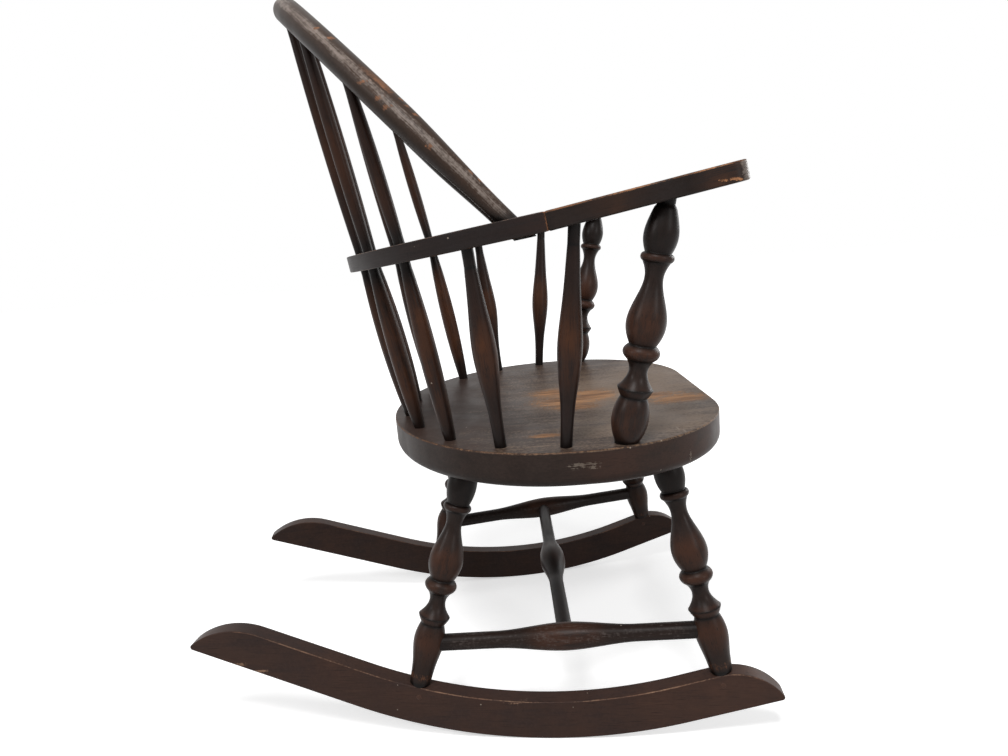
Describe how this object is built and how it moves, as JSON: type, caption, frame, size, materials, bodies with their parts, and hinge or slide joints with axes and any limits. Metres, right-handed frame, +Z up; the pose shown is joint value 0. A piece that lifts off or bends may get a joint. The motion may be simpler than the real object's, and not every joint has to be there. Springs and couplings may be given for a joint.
{
  "type": "hoop back rocking chair",
  "caption": "Child's rocking chair with a bent hoop back, spindles that pass a curved rail, flat flared arms, a rounded dished seat, turned legs and posts, and curved rockers.",
  "frame": {"origin": "on the floor, in the middle of the rockers' length and width", "axes": "+Z up, -Y the way the sitter faces, +X to the sitter's left"},
  "size_m": [0.3814, 0.46, 0.5836],
  "materials": {
    "turned_wood": "satin dark brown stain, redder where it is worn",
    "flat_wood": "satin dark brown stain, lighter at worn edges",
    "bent_wood": "satin dark brown stain, greyer, rubbed through in places",
    "seat_wood": "worn satin dark stain over pale wood"
  },
  "bodies": {
    "root": {"seat": "seat_wood", "center_stretcher": "turned_wood", "back_rail": "flat_wood", "hoop": "bent_wood", "rocker_pins": "turned_wood", "arm_dowels": "turned_wood", "rocker_left": "flat_wood", "rocker_right": "flat_wood", "leg_front_left": "turned_wood", "leg_front_right": "turned_wood", "leg_rear_left": "turned_wood", "leg_rear_right": "turned_wood", "side_stretcher_left": "turned_wood", "side_stretcher_right": "turned_wood", "arm_post_left": "turned_wood", "arm_post_right": "turned_wood", "arm_left": "flat_wood", "arm_right": "flat_wood", "back_spindle_inner_left": "turned_wood", "back_spindle_inner_right": "turned_wood", "back_spindle_middle_left": "turned_wood", "back_spindle_middle_right": "turned_wood", "back_spindle_outer_left": "turned_wood", "back_spindle_outer_right": "turned_wood", "arm_spindle_front_left": "turned_wood", "arm_spindle_front_right": "turned_wood", "arm_spindle_rear_left": "turned_wood", "arm_spindle_rear_right": "turned_wood"}
  },
  "joints": []
}
